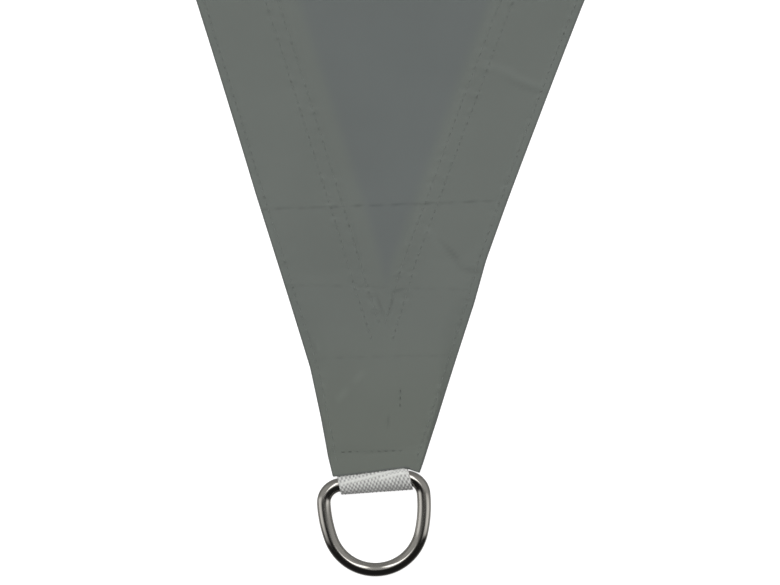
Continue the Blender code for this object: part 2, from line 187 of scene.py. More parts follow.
def half_line(slant):
    """The right half of the wire's middle line, as x, y and the angle that faces out: three arcs and then
    the bar."""
    side, shoulder, joint, straight = shoulder_arc(slant)
    bow_end = BOW_HALF - math.pi / 2
    arcs = [
        ((0, 0), BOW_RADIUS, -math.pi / 2, bow_end, RING_STEPS["bow"]),
        (side, SIDE_RADIUS, bow_end, joint, RING_STEPS["side"]),
        (shoulder, SHOULDER_RADIUS, joint, slant + math.pi / 2, RING_STEPS["shoulder"]),
    ]
    runs = []
    for (x, y), radius, start, end, steps in arcs:
        angle = np.linspace(start, end, steps + 1)[:-1]
        runs.append(np.stack([x + radius * np.cos(angle), y + radius * np.sin(angle), angle]))
    bar = np.linspace(straight, 0, RING_STEPS["bar"] + 1)
    up = np.full_like(bar, slant + math.pi / 2)
    runs.append(np.stack([bar * math.cos(slant), BAR_FROM_BOW + bar * math.sin(slant), up]))
    return np.concatenate(runs, axis=1)


def wire_line(slant):
    """The whole line. Its left half mirrors a right half whose bar slants the other way."""
    left = half_line(-slant)[:, -2:0:-1] * [[-1], [1], [-1]] + [[0], [0], [math.pi]]
    return np.concatenate([half_line(slant), left], axis=1)


def wire_surface(line):
    """A circle carried along the line: out from it by the cosine of the turn, and up by its sine."""
    x, y, out = line[:, :, None]
    around = np.linspace(0, 2 * math.pi, WIRE_FACETS, endpoint=False)[None, :]
    reach = WIRE_RADIUS * np.cos(around)
    up = WIRE_RADIUS * np.sin(around) + 0 * x
    return np.stack([x + reach * np.cos(out), y + reach * np.sin(out), up], axis=-1)


def polished_steel():
    """Stainless steel, drawn and polished: near mirror bright, with faint marks that soften it a little."""
    finish, tree, shader = new_finish("polished_stainless_steel")
    soft = stretched(tree, noise(tree, size=6 * MM, detail=4.0), 0.1, 0.16)
    shader.inputs["Base Color"].default_value = linear(STEEL)
    shader.inputs["Metallic"].default_value = 1.0
    tree.links.new(soft, shader.inputs["Roughness"])
    roughen(tree, shader, noise(tree, FINE_SCRATCH, detail=2.0), strength=0.05, depth=0.02 * MM)
    return finish


steel = polished_steel()
for corner in HEADING:
    ring_line = wire_line(BAR_SLANT[corner])
    ring_shape = turned(wire_surface(ring_line), RING_LEAN, 0)
    steps_round = ring_line.shape[1]
    ring_faces = grid_faces(steps_round + 1, WIRE_FACETS, ring=True) % (steps_round * WIRE_FACETS)
    centre = [RING_SHIFT[corner], WIRE_RADIUS + BOW_RADIUS, RING_HEIGHT]
    points = in_corner(corner, turned(ring_shape, RING_TURN[corner], 2) + centre)
    ring = add_piece(f"d_ring_{corner}", points, [ring_faces[:, ::-1]], steel)
    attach(ring, "root")
    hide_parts(f"ring_{corner}")

# --------------------------------------------------------------------------------
# The webbing
# A strip of off-white polyester webbing, 42 mm wide, laid round the ring's bar at each corner. Its two
# ends lie flat on each other in the hem's pocket. Its close weave has ribs 2.3 mm apart.

WEB_HALF = 20.8 * MM
WEB_LEG = 19 * MM
LOWER_LEG = 11 * MM
WEB_TAIL = 18 * MM
POCKET_FLOOR = 1.5 * MM
POCKET_ROOF = 1.3 * MM
LEG_SLOPE_ROOM = 0.25 * MM
WEB_LEAN = {"front": math.radians(6), "right": 0.0, "left": 0.0}
WEB_SHIFT = {"front": 1.1 * MM, "right": 0.0, "left": 0.0}

WRAP_RADIUS = WIRE_RADIUS + GAP + WEB_THICK / 2
TAIL_HEIGHT = POCKET_FLOOR + GAP + WEB_THICK + GAP / 2
LEG_RISE = BAR_HEIGHT + WRAP_RADIUS - TAIL_HEIGHT - WEB_THICK / 2 - GAP / 2

LOOSE = {"front": 2.0 * MM, "right": 0.0, "left": 0.0}  # the strip's slack round the bar at its right edge

RIB = 2.28 * MM  # from one knuckle to the next across the strip
PICK = 3.4 * MM  # from one row of knuckles to the next but one
ROW_SKEW = math.tan(math.radians(7.4))  # the rows aren't quite square to the strip
KNUCKLE = 0.6 * MM
# Two rows are smooth: how far along the strip each lies, and how far across it begins
SMOOTH_ROWS = ((35.3 * MM, -WEB_HALF), (38.0 * MM, 0.1 * WEB_HALF))
SMOOTH_HALF = 0.9 * MM
SMOOTH_START = 8 * MM
SMOOTH_LEVEL = 0.95
SELVEDGE = 0.8 * MM
WEB_COLUMNS = 150
WRAP_ROWS = 56
LEG_ROWS = 40
TAIL_ROWS = 6

YARN = "#D9DAD7"
# painted shade in the gaps between the knuckles
YARN_GAP_SHADE = "#939392"
LOOP_SHADE_FROM = 37 * MM  # along the strip: past this its loop gets painted shade, fully so over the next run
LOOP_SHADE_OVER = 8 * MM
LOOP_SHADE_DEPTH = 0.43
FILAMENT = 0.22 * MM  # about ten times the real one, which is too fine to show


def ease(share):
    """0 to 1 along half a cosine wave, level at both ends."""
    return (1 - np.cos(np.pi * np.clip(share, 0, 1))) / 2


def leg_height(from_bar):
    """The middle of the upper leg's thickness over the middle of the pocket's webbing: half a cosine down."""
    return GAP / 2 + WEB_THICK / 2 + LEG_RISE * (1 - ease(from_bar / WEB_LEG))


def strip_middle(name, across):
    """The strip's middle from its upper end round the bar to its lower end: along and height, by row and
    place. Round the bar it is half an ellipse, wide enough to clear the bar's bend at a shoulder and to take
    the slack where it is loose. The legs ease down to the tails."""
    left, right = (shoulder_arc(side * BAR_SLANT[name])[3] for side in (-1, 1))
    beyond = np.maximum(0, np.abs(across) + WEB_THICK - np.where(across < 0, left, right))
    outside = np.sqrt(SHOULDER_RADIUS**2 - beyond**2)
    inside = np.sqrt((SHOULDER_RADIUS - WIRE_RADIUS) ** 2 - beyond**2)
    centre = (outside - SHOULDER_RADIUS)[None, :]
    tight = SHOULDER_RADIUS - inside + GAP + WEB_THICK / 2
    loose = WRAP_RADIUS + LOOSE[name] * (0.5 + across / (2 * WEB_HALF))
    reach = np.maximum(tight, loose)[None, :] + centre
    turn = np.radians(np.linspace(90, 270, WRAP_ROWS + 1))[:, None]
    wrap_along = centre + reach * np.cos(turn)
    wrap_height = BAR_HEIGHT + WRAP_RADIUS * np.sin(turn) + 0 * centre
    leg = np.linspace(0, 1, LEG_ROWS + 1)[1:]
    tail = 1 + np.linspace(0, WEB_TAIL / WEB_LEG, TAIL_ROWS + 1)[1:]
    share = np.concatenate([leg, tail])[:, None]
    along = centre * np.clip(1 - share, 0, 1) + WEB_LEG * share
    upper = TAIL_HEIGHT + leg_height(WEB_LEG * share) + 0 * along
    low_at_bar, low_at_tail = BAR_HEIGHT - WRAP_RADIUS, TAIL_HEIGHT - GAP / 2 - WEB_THICK / 2
    lower = low_at_bar + (low_at_tail - low_at_bar) * ease(along / LOWER_LEG)
    all_along = np.concatenate([along[::-1], wrap_along, along])
    all_height = np.concatenate([upper[::-1], wrap_height, lower])
    return all_along, all_height


def from_bar_frame(name, points):
    """From a level frame at the middle of the ring's bar and in line with it, to the corner's frame."""
    at_bow = turned(points, BAR_SLANT[name], 2) + [0, BAR_FROM_BOW, 0]
    return turned(at_bow, RING_TURN[name], 2) + [RING_SHIFT[name], WIRE_RADIUS + BOW_RADIUS, 0]


def distance_from_bar(name, places):
    """How far places in the corner's frame lie behind the bar's middle line."""
    turn = RING_TURN[name]
    across = places[..., 0] - RING_SHIFT[name]
    along = places[..., 1] - WIRE_RADIUS - BOW_RADIUS
    at_bow = [across * math.cos(turn) + along * math.sin(turn),
              along * math.cos(turn) - across * math.sin(turn) - BAR_FROM_BOW]
    return at_bow[1] * math.cos(BAR_SLANT[name]) - at_bow[0] * math.sin(BAR_SLANT[name])


def facing(surface):
    """The unit direction square to a grid of points: the cross product of its steps by row and by place."""
    by_row, by_place = np.gradient(surface, axis=0), np.gradient(surface, axis=1)
    square = np.cross(by_row, by_place)
    return square / np.linalg.norm(square, axis=-1, keepdims=True)


def knuckles(across, length):
    """Height of the weave from 0 to 1: two cosines multiplied, so each row of knuckles is half a rib aside.
    Two slow sines make the rows uneven, and a smooth row is filled up to near the knuckles' level."""
    row = length + ROW_SKEW * across
    uneven = (0.35 * MM * np.sin(across / (5.3 * MM) + 1)
              + 0.2 * MM * np.sin(across / (2.1 * MM) + row / (3 * MM)))
    wave = np.cos(2 * np.pi * (across + 0.3 * uneven) / RIB) * np.cos(2 * np.pi * (row + uneven) / PICK)
    rise = np.clip(0.58 + 0.65 * wave, 0, 1)
    for smooth_row, start in SMOOTH_ROWS:
        begun = SMOOTH_LEVEL * ease((across - start) / SMOOTH_START + 0.5)
        rise = np.maximum(rise, begun * np.exp(-(((row - smooth_row) / SMOOTH_HALF) ** 2)))
    return rise


def sheet_faces(rows, columns):
    """The faces of a closed sheet: a front grid, a back grid behind it, and a strip round the rim."""
    front = grid_faces(rows, columns)[:, ::-1]
    back = front[:, ::-1] + rows * columns
    index = np.arange(rows * columns).reshape(rows, columns)
    rim = np.concatenate([index[0, :], index[1:, -1], index[-1, -2::-1], index[-2:0:-1, 0]])
    after = np.roll(rim, -1)
    edge = np.stack([after, after + rows * columns, rim + rows * columns, rim], axis=-1)
    return [front, back, edge]


def woven_polyester():
    """Bulky off-white polyester yarn: matt, pale on the knuckles with painted shade between them, with a
    grain of fine filaments."""
    finish, tree, shader = new_finish("woven_polyester_webbing")
    rise = add_node(tree, "ShaderNodeAttribute", attribute_name="knuckle")
    patch = noise(tree, size=1.6 * MM, detail=3.0)
    # The weave's height, less the loop's painted shade, picks the colour: painted shade in the gaps
    level = add_node(tree, "ShaderNodeMath", {0: patch, 1: 0.5, 2: rise.outputs["Fac"]},
                     operation="MULTIPLY_ADD")
    share = add_node(tree, "ShaderNodeMapRange",
                     {"Value": level.outputs[0], "From Min": 0.3, "From Max": 1.05})
    colour = add_node(tree, "ShaderNodeMix",
                      {"Factor": share.outputs["Result"], 6: linear(YARN_GAP_SHADE), 7: linear(YARN)},
                      data_type="RGBA")
    tree.links.new(colour.outputs[2], shader.inputs["Base Color"])
    roughen(tree, shader, noise(tree, FILAMENT, detail=2.0), strength=0.5, depth=0.08 * MM)
    shader.inputs["Roughness"].default_value = 0.62
    shader.inputs["Sheen Weight"].default_value = 0.25
    return finish


yarn = woven_polyester()
web_across = np.linspace(-WEB_HALF, WEB_HALF, WEB_COLUMNS + 1)
# Towards its selvedge the strip thins to a rounded edge
from_selvedge = np.clip((WEB_HALF - np.abs(web_across)) / SELVEDGE, 0, 1)
half_thick = WEB_THICK / 2 * np.sqrt(1 - (1 - from_selvedge) ** 2 * 0.96)[None, :, None]

for corner in HEADING:
    along, height = strip_middle(corner, web_across + WEB_SHIFT[corner])
    across = web_across[None, :] + WEB_SHIFT[corner] + 0 * along
    middle = np.stack([across - math.tan(WEB_LEAN[corner]) * along, along, height], axis=-1)
    step = np.linalg.norm(np.diff(middle[:, WEB_COLUMNS // 2], axis=0), axis=-1)
    length = np.concatenate([[0], np.cumsum(step)])[:, None]
    rise = knuckles(web_across[None, :], length)
    out = facing(middle)
    outer = middle + out * (half_thick - KNUCKLE * (1 - rise[..., None]) * from_selvedge[None, :, None])
    inner = middle - out * half_thick
    strip = from_bar_frame(corner, np.stack([outer, inner]))
    faces = sheet_faces(*along.shape)
    # Painted shade: the weave's colour value is lowered along the loop's far part
    shaded_rise = rise - LOOP_SHADE_DEPTH * ease((length - LOOP_SHADE_FROM) / LOOP_SHADE_OVER)
    rises = np.stack([shaded_rise, 0.5 + 0 * rise])
    webbing = add_piece(f"web_strip_{corner}", in_corner(corner, strip), faces, yarn, {"knuckle": rises})
    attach(webbing, "root")
    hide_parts(f"webbing_{corner}")

# --------------------------------------------------------------------------------
# The sail cloth
# One triangle of dark grey-green coated polyester with hollow edges. Each edge is turned under in a hem
# 50 mm wide, and at a corner the two hems cross and close round the webbing. Pack creases cross the corner.

EDGE_HOLLOW = 0.17
HALF_CORNER = math.radians(30)
CLOTH = 1.0 * MM
HEM = 50 * MM
HEM_STEP = 5 * MM
EDGE_ROUND = 0.9 * MM
ROUND_SHARE = 0.46  # and no more than this share of the thickness

# How far out from its true curve the edge is sewn, by the distance from the ring's end: at the front
# corner as measured in the photograph, and smoother at the plain corners
SPREAD_AT = {
    "front": [0.058, 0.071, 0.094, 0.124, 0.166, 0.192, 0.228, 0.348, 0.560],
    "plain": [0.060, 0.090, 0.124, 0.166, 0.228],
}
SPREAD_LEFT = {
    "front": np.array([7.2, 6.8, 4.4, 2.0, 2.3, 2.5, 2.7, 0.8, 0.0]) * MM,
    "plain": np.array([6.4, 5.0, 3.0, 1.2, 0.0]) * MM,
}
SPREAD_RIGHT = {
    "front": np.array([5.5, 5.7, 5.1, 3.8, 2.1, -0.2, -0.8, -1.5, 0.0]) * MM,
    "plain": SPREAD_LEFT["plain"],
}
MOUTH = {"front": 0.0614, "right": 0.0613, "left": 0.0613}
MOUTH_SLANT = {"front": 2.1 * MM, "right": 0.0, "left": 0.0}
MOUTH_PEAK = {"front": 3.2 * MM, "right": 0.0, "left": 0.0}
# Where the mouth's line bends, from -1 at the left edge to 1 at the right, and by what share of its peak
MOUTH_SHARES = (-1, 0.7, 0.85, 1)
MOUTH_FORM = np.array([0, 1, 0.33, -0.1])
MOUTH_FADE = 60 * MM
SLANT_END = 0.33

# Creases straight across the corner: how far from the ring's end, the slant to the right, and their depth
PLAIN_CREASES = [(0.135, 0.0, 0.1 * MM), (0.224, 0.0, 0.15 * MM)]
CREASES = {
    "front": [(0.132, 2.3 * MM, 0.08 * MM), (0.174, 0.0, 0.07 * MM), (0.224, 5.0 * MM, 0.16 * MM)],
    "right": PLAIN_CREASES,
    "left": PLAIN_CREASES,
}
CREASE_ROWS = np.array([-6, -3.4, -1.9, -1.1, -0.5, 0, 0.5, 1.1, 1.9, 3.4, 6]) * MM
GROOVE = 0.5 * MM
CREASE_FADE = 4.5 * MM
CREASE_WANDER = 0.25 * MM

# Rough pitches of the ripples that make a crease's line, its step and its line of painted shade uneven
WANDER_PITCH = 23 * MM
STEP_PITCH = 13 * MM
MARK_PITCH = 11 * MM

# Painted shade and painted highlight: the depths at which each is full, and the painted shade at the mouth
# and in a band
CREASE_WIDTH = 0.9 * MM
CREASE_DEPTH = 0.25 * MM
WRINKLE_DEPTH = 0.5 * MM
PUCKER_DEPTH = 1.4 * MM
PAINTED_SHADE_STRENGTH = 0.22
MOUTH_PAINTED_SHADE = 0.36
MOUTH_PAINTED_SHADE_RUN = 26 * MM
SHADE_BAND = 0.22
SHADE_BAND_AT = 0.165  # from the ring's end
SHADE_BAND_RUN = 0.045

# Small wrinkles at the front corner, from and to, in its own frame: a minus height is a trough
WRINKLES = np.array([
    # across0, along0, across1, along1, bow, half width, height
    (26, 202, 47, 181, -2.0, 2.5, -0.42),
    (43, 183, 60, 180, 1.0, 2.3, -0.28),
    (24, 206, 42, 190, 1.0, 3.2, 0.25),
    (50, 304, 76, 298, 1.0, 3.6, 0.16),
    (66, 300, 96, 288, 1.5, 3.4, 0.20),
    (66, 295, 98, 284, 1.5, 2.8, -0.20),
    (-8, 121, -16, 112, 0.0, 3.2, 0.20),
    (-17, 111, -25, 101, 0.0, 3.2, 0.24),
    (-42, 141, -37, 129, 0.0, 1.3, -0.32),
    (-40, 140, -35, 130, 0.0, 1.3, 0.20),
    (-4, 167, 3, 149, 0.0, 1.6, -0.24),
    (3, 150, 7, 168, 0.8, 1.4, -0.28),
    (6, 167, 15, 169, 0.4, 1.2, -0.26),
    (12.5, 112, 12.5, 102, 0.0, 1.3, -0.20),
    (6, 96, 6, 86, 0.0, 1.3, -0.25),
    (-20, 72, 17, 74.5, 0.0, 1.1, -0.25),
]) * ([MM] * 7)

# Low soft folds where the sail doesn't lie quite flat, from the middle of the sail
FOLDS = [
    # x0, y0, x1, y1, half width, height
    (-0.04, -1.28, -0.13, -0.42, 0.15, 8 * MM),
    (0.14, -1.02, 0.46, -0.26, 0.14, 6 * MM),
    (1.12, 0.67, 0.28, 0.12, 0.16, 9 * MM),
    (0.98, 0.43, 0.52, -0.18, 0.13, 5 * MM),
    (-1.14, 0.65, -0.38, 0.26, 0.15, 8 * MM),
    (-0.96, 0.36, -0.44, -0.24, 0.14, 6 * MM),
    (-0.42, 0.58, 0.38, 0.50, 0.13, 7 * MM),
]

# The cloth over the webbing
MOUTH_SIDE = 0.88
SEWN_FLAT = 26 * MM
SIDE_RISE = 2.4 * MM
SIDE_RISE_BEYOND = 16 * MM  # past the webbing's ends, reached over the next run
BEYOND_RUN = 50 * MM
SIDE_RISE_AT_MOUTH = 1.0 * MM
SIDE_LAYERS = 3
TAIL_ROOM = 4 * MM
COVER_RUN_OUT = 130 * MM
COVER_AT_TAIL = TAIL_HEIGHT + GAP / 2 + WEB_THICK + GAP + POCKET_ROOF
POCKET_HALF = WEB_HALF + 2 * GAP
POCKET_SIDE = 3 * MM  # over this at each side the underside eases to the pocket's floor
GATHER_ROWS = 6  # rows of the underside that are drawn in to where the floor starts
BEHIND_MOUTH = 0.4 * MM

# The rows of sewing, from the edge, and the puckers that each draws up
OUTER_SEAM = 4.5 * MM
INNER_SEAMS = (41 * MM, 48.5 * MM)
PUCKER_PITCH = 8.5 * MM
PUCKER_WIDTH = 2.4 * MM
PUCKER_SWELL = 60 * MM  # over this they grow and fade again
PUCKER_HEIGHT = {OUTER_SEAM: 0.35 * MM, INNER_SEAMS[0]: 0.5 * MM, INNER_SEAMS[1]: 0.55 * MM}
SEAM_START = {OUTER_SEAM: 8 * MM, INNER_SEAMS[0]: 80 * MM, INNER_SEAMS[1]: 90 * MM}  # from the mouth
RIM = 1.3 * MM  # the edge's outer turn, which gets painted shade
EDGE_CALM = 2 * MM  # bumps fade out over this at an edge

HEM_PLACES = np.array([0, 0.12, 0.35, 0.65, 1, 1.8, 3, 4.5, 6, 8, 11, 14, 17, 19.5, 22, 24.5, 27, 29.5,
                       32, 34.5, 37, 39, 41, 42.5, 44.5, 46.5, 48.5, 50, 52, 54.5]) * MM
HEM_SHARE = 0.72
INNER_COLUMNS = 18
FINE_TO = {"front": 0.362, "right": 0.15, "left": 0.15}
FINE_ROW = {"front": 1.7 * MM, "right": 2.5 * MM, "left": 2.5 * MM}
ROW_GROWTH = 1.09
POCKET_ROWS = 10

TINT_EDGES = (61 * MM, 55 * MM)  # from the left and the right edge: where the hem's tone ends
TINT_STEP = 9 * MM
TIP_FROM = 0.085  # from the ring's end: past this the crossed hems' tone fades, over the next run
TIP_RUN = 0.085
CLOTH_HEM = "#6B706C"
CLOTH_SINGLE = "#676C6B"
CLOTH_CROSSED = "#696E68"
CLOTH_RIM_SHADE = "#5B5F5D"
WEAVE = 0.6 * MM


def edge_line(name, from_end, side):
    """Across and along of the hollow edge: in from the straight line by a parabola, and out by the sewn
    spread."""
    table = name if name == "front" else "plain"
    spread = np.interp(from_end, SPREAD_AT[table], (SPREAD_LEFT if side < 0 else SPREAD_RIGHT)[table])
    inset = 4 * EDGE_HOLLOW * (from_end / SIDE) * (1 - from_end / SIDE)
    across = from_end * math.sin(HALF_CORNER) - inset * math.cos(HALF_CORNER) + spread
    along = from_end * math.cos(HALF_CORNER) + inset * math.sin(HALF_CORNER)
    return np.stack([side * across, along], axis=-1)


def row_ends(name, from_end):
    """Where each row of cloth meets the left edge, the axis and the right edge. Far rows bend to the sail's
    middle."""
    places = [MOUTH[name]] + [place for place, _, _ in CREASES[name]] + [SLANT_END]
    slants = [MOUTH_SLANT[name]] + [slant for _, slant, _ in CREASES[name]] + [0]
    slant = np.interp(from_end, places, slants)
    left, right = edge_line(name, from_end - slant, -1), edge_line(name, from_end + slant, 1)
    bend = np.clip((2 * from_end / SIDE - 0.25) / 0.75, 0, None) ** 2
    middle = (left + right) / 2
    middle[..., 1] += bend * (TO_MIDDLE - edge_line(name, SIDE / 2, 1)[1])
    return left, middle, right


def from_both_edges(name, from_end, from_edge, side):
    """The place on each row at this distance from one edge, and how far it lies from both edges."""
    left, middle, right = row_ends(name, from_end)
    edge = left if side < 0 else right
    run = middle - edge
    length = np.linalg.norm(run, axis=-1)
    place = edge + run * (from_edge / length)[..., None]
    share = side * (1 - from_edge / length)
    fade = np.clip(1 - (from_end - MOUTH[name]) / MOUTH_FADE, 0, None)
    from_left = np.linalg.norm(place - left, axis=-1)
    from_right = np.linalg.norm(place - right, axis=-1)
    place[..., 1] += fade * np.interp(share, MOUTH_SHARES, MOUTH_PEAK[name] * MOUTH_FORM)
    return place, from_left, from_right


def hem_layers(from_edge):
    """1 on the hem, 0 inside it, and half a cosine between."""
    return 1 - ease((from_edge - HEM) / HEM_STEP + 0.5)


def tone(from_end, from_left, from_right):
    """The cloth's tone by its layers: 0 on the single layer, 1 on the hems, up to 2 where they cross."""
    sides = zip((from_left, from_right), TINT_EDGES)
    hem = [1 - ease((from_edge - end) / TINT_STEP + 0.5) for from_edge, end in sides]
    tip = 1 - ease((from_end - TIP_FROM) / TIP_RUN)
    return np.maximum(*hem) + tip


def ripple(place, pitch, start):
    """An uneven wave between about -1 and 1: three sines whose pitches share no common measure."""
    turn = 2 * np.pi * place / pitch
    return (np.sin(turn + start) + 0.7 * np.sin(1.618 * turn + 2.1 * start)
            + 0.5 * np.sin(0.577 * turn + 3.7 * start)) / 2


def seam_puckers(name, from_end, from_edge, side):
    """What a hem's sewing draws up: an uneven ripple along each row of stitches, fading out beside it."""
    seam = list(HEADING).index(name) + (side < 0)
    along_hem = side * (SIDE / 2 - from_end)
    height = 0
    for k, (row, rise) in enumerate(PUCKER_HEIGHT.items()):
        start = 1.7 * (seam % 3) + 0.9 * k
        swell = 0.55 + 0.45 * ripple(along_hem, PUCKER_SWELL, start)
        draw = ripple(along_hem, PUCKER_PITCH, start) * swell
        sewn = ease((from_end - MOUTH[name] - SEAM_START[row]) / PUCKER_PITCH)
        height = height + sewn * rise * draw * np.exp(-(((from_edge - row) / PUCKER_WIDTH) ** 2))
    return height


def band(across, along, x0, y0, x1, y1, half_width, bow=0.0):
    """How near a place is to a bowed line, 1 on it and 0 a half width off, and 0 beyond its tapered ends."""
    run_x, run_y = x1 - x0, y1 - y0
    length = math.hypot(run_x, run_y)
    share = ((across - x0) * run_x + (along - y0) * run_y) / length**2
    off = ((across - x0) * run_y - (along - y0) * run_x) / length - 4 * bow * share * (1 - share)
    near = np.clip(1 - (off / half_width) ** 2, 0, None) ** 2
    return near * np.sin(np.pi * np.clip(share, 0, 1))


def each_crease(name, from_end, places):
    """Each pack crease's number and depth, and how far places lie past its wandering line."""
    for k, (crease, _, depth) in enumerate(CREASES[name]):
        yield k, depth, from_end - crease + CREASE_WANDER * ripple(places[..., 0], WANDER_PITCH, k)


def each_wrinkle(name, places):
    """The height of each of the front corner's wrinkles, and how near places are to its line."""
    for x0, y0, x1, y1, bow, half_width, rise in WRINKLES if name == "front" else ():
        yield rise, band(places[..., 0], places[..., 1], x0, y0, x1, y1, half_width, bow)


def creases_and_wrinkles(name, from_end, places):
    """The pack creases, each a small uneven step that fades at both sides, and the wrinkles."""
    height = 0
    for k, depth, off in each_crease(name, from_end, places):
        uneven = np.clip(0.5 + 0.9 * ripple(places[..., 0], STEP_PITCH, 1.3 + k), 0, None)
        height = height + depth * uneven * np.tanh(off / GROOVE) * np.exp(-((off / CREASE_FADE) ** 2))
    for rise, near in each_wrinkle(name, places):
        height = height + rise * near
    return height


def painted_shading(name, from_end, places, from_left, from_right):
    """Painted shade and painted highlight on the cloth, from -1 on a ridge to 1 in a trough: by the height of
    the wrinkles and puckers, with a thin broken line of painted shade along each pack crease, and more
    painted shade at the mouth and in a band across the tip."""
    # Painted shade near the mouth and in a band across the tip
    shade = MOUTH_PAINTED_SHADE * (1 - ease((from_end - MOUTH[name]) / MOUTH_PAINTED_SHADE_RUN))
    shade = shade + SHADE_BAND * np.exp(-(((from_end - SHADE_BAND_AT) / SHADE_BAND_RUN) ** 2)) + 0 * from_left
    for k, depth, off in each_crease(name, from_end, places):
        broken = np.clip(0.3 + 0.9 * ripple(places[..., 0], MARK_PITCH, 2.3 + k), 0, 1)
        shade = shade + depth / CREASE_DEPTH * broken * np.exp(-((off / CREASE_WIDTH) ** 2))
    for rise, near in each_wrinkle(name, places):
        shade = shade - rise / WRINKLE_DEPTH * near
    puckers = seam_puckers(name, from_end, from_left, -1) + seam_puckers(name, from_end, from_right, 1)
    return np.clip(shade - puckers / PUCKER_DEPTH, -1, 1)


def cover_height(from_bar):
    """The top of the cloth over the webbing: down its leg, level over its flat ends, and then to nothing."""
    over_leg = COVER_AT_TAIL + LEG_RISE * (1 - ease(from_bar / WEB_LEG))
    return over_leg * (1 - ease((from_bar - WEB_LEG - WEB_TAIL - TAIL_ROOM) / COVER_RUN_OUT))


def thickness(name, from_end, places, from_left, from_right):
    """From the underside to the top: the layers, the webbing inside them, the creases and the puckers."""
    layers = CLOTH * (1 + hem_layers(from_left) + hem_layers(from_right))
    from_bar = distance_from_bar(name, places)
    closed = 1 - ease((from_end - MOUTH[name]) / SEWN_FLAT)
    beyond = ease((from_bar - WEB_LEG - WEB_TAIL) / BEYOND_RUN)
    rise = SIDE_RISE + (SIDE_RISE_BEYOND - SIDE_RISE) * beyond + (SIDE_RISE_AT_MOUTH - SIDE_RISE) * closed
    from_edge = np.minimum(from_left, from_right)
    side = MOUTH_SIDE * closed + (1 - MOUTH_SIDE * closed) * ease(from_edge / rise)
    side_height = SIDE_LAYERS * CLOTH
    cover = side_height + (cover_height(from_bar) - side_height) * side
    bumps = creases_and_wrinkles(name, from_end, places)
    bumps = bumps + seam_puckers(name, from_end, from_left, -1) + seam_puckers(name, from_end, from_right, 1)
    return np.maximum(layers, cover) + bumps * np.clip(from_edge / EDGE_CALM, 0, 1)


def fold_height(x, y):
    """The underside's height over the surface: each fold is a band with a soft hump across it."""
    height = np.zeros_like(x)
    for x0, y0, x1, y1, half_width, rise in FOLDS:
        height += rise * band(x, y - MIDDLE_Y, x0, y0, x1, y1, half_width)
    return height


def row_places(name):
    """Where the rows of cloth lie: even near the corner, close at each crease, then ever further apart."""
    even = np.arange(MOUTH[name], FINE_TO[name], FINE_ROW[name])
    even = np.insert(even, 1, MOUTH[name] + RIM * np.array([0.4, 0.8]))
    steps = FINE_ROW[name] * ROW_GROWTH ** np.arange(1, 60)
    steps = steps[: np.searchsorted(np.cumsum(steps), SIDE / 2 - even[-1])]
    grown = even[-1] + np.cumsum(steps) * (SIDE / 2 - even[-1]) / steps.sum()
    for crease, _, _ in CREASES[name]:
        even = even[np.abs(even - crease) > CREASE_ROWS[-1]]
        even = np.concatenate([even, crease + CREASE_ROWS])
    return np.concatenate([np.sort(even), grown])


def on_cloth(name, from_end, places, from_left, from_right):
    """The points over these places on the cloth's top: the fold under it and then its thickness."""
    top = in_corner(name, np.concatenate([places, 0 * places[..., :1]], axis=-1))
    thick = thickness(name, from_end, places, from_left, from_right)
    top[..., 2] = fold_height(top[..., 0], top[..., 1]) + thick
    return top


def cloth_rows(name):
    """The top and the underside of one corner's third of the sail, as two grids of points, then what colours
    it by name, and each point's place in the corner's frame. Columns are close at the edge and at the seams.
    The edge is rounded by a quarter circle above and below."""
    from_end = row_places(name)[:, None]
    left, middle, right = row_ends(name, from_end[:, 0])
    halves = []
    for side, edge in ((-1, left), (1, right)):
        length = np.linalg.norm(middle - edge, axis=-1)[:, None]
        hem = HEM_PLACES * np.minimum(1, HEM_SHARE * length / HEM_PLACES[-1])
        inner = hem[:, -1:] + (length - hem[:, -1:]) * np.linspace(0, 1, INNER_COLUMNS + 1)[1:]
        halves.append(from_both_edges(name, from_end, np.concatenate([hem, inner], axis=1), side))
    places, from_left, from_right = (
        np.concatenate([one, other[:, -2::-1]], axis=1) for one, other in zip(*halves)
    )
    top = on_cloth(name, from_end, places, from_left, from_right)
    under = top.copy()
    under[..., 2] = fold_height(top[..., 0], top[..., 1])
    radius = np.minimum(EDGE_ROUND, ROUND_SHARE * (top[..., 2] - under[..., 2]))
    from_edge = np.minimum(from_left, from_right)
    near = np.clip(1 - from_edge / radius, 0, 1)
    curl = radius * (1 - np.sqrt(1 - near**2))
    under[..., 2] += curl
    top[..., 2] -= curl
    # Painted shade on the edge's outer turn and along the mouth's edge
    at_mouth = 1 - ease((from_end - MOUTH[name]) / RIM)
    values = {"hem": tone(from_end, from_left, from_right),
              "rim": np.maximum(1 - ease(from_edge / RIM), at_mouth),
              "painted_shading": painted_shading(name, from_end, places, from_left, from_right)}
    return top, under, values, places


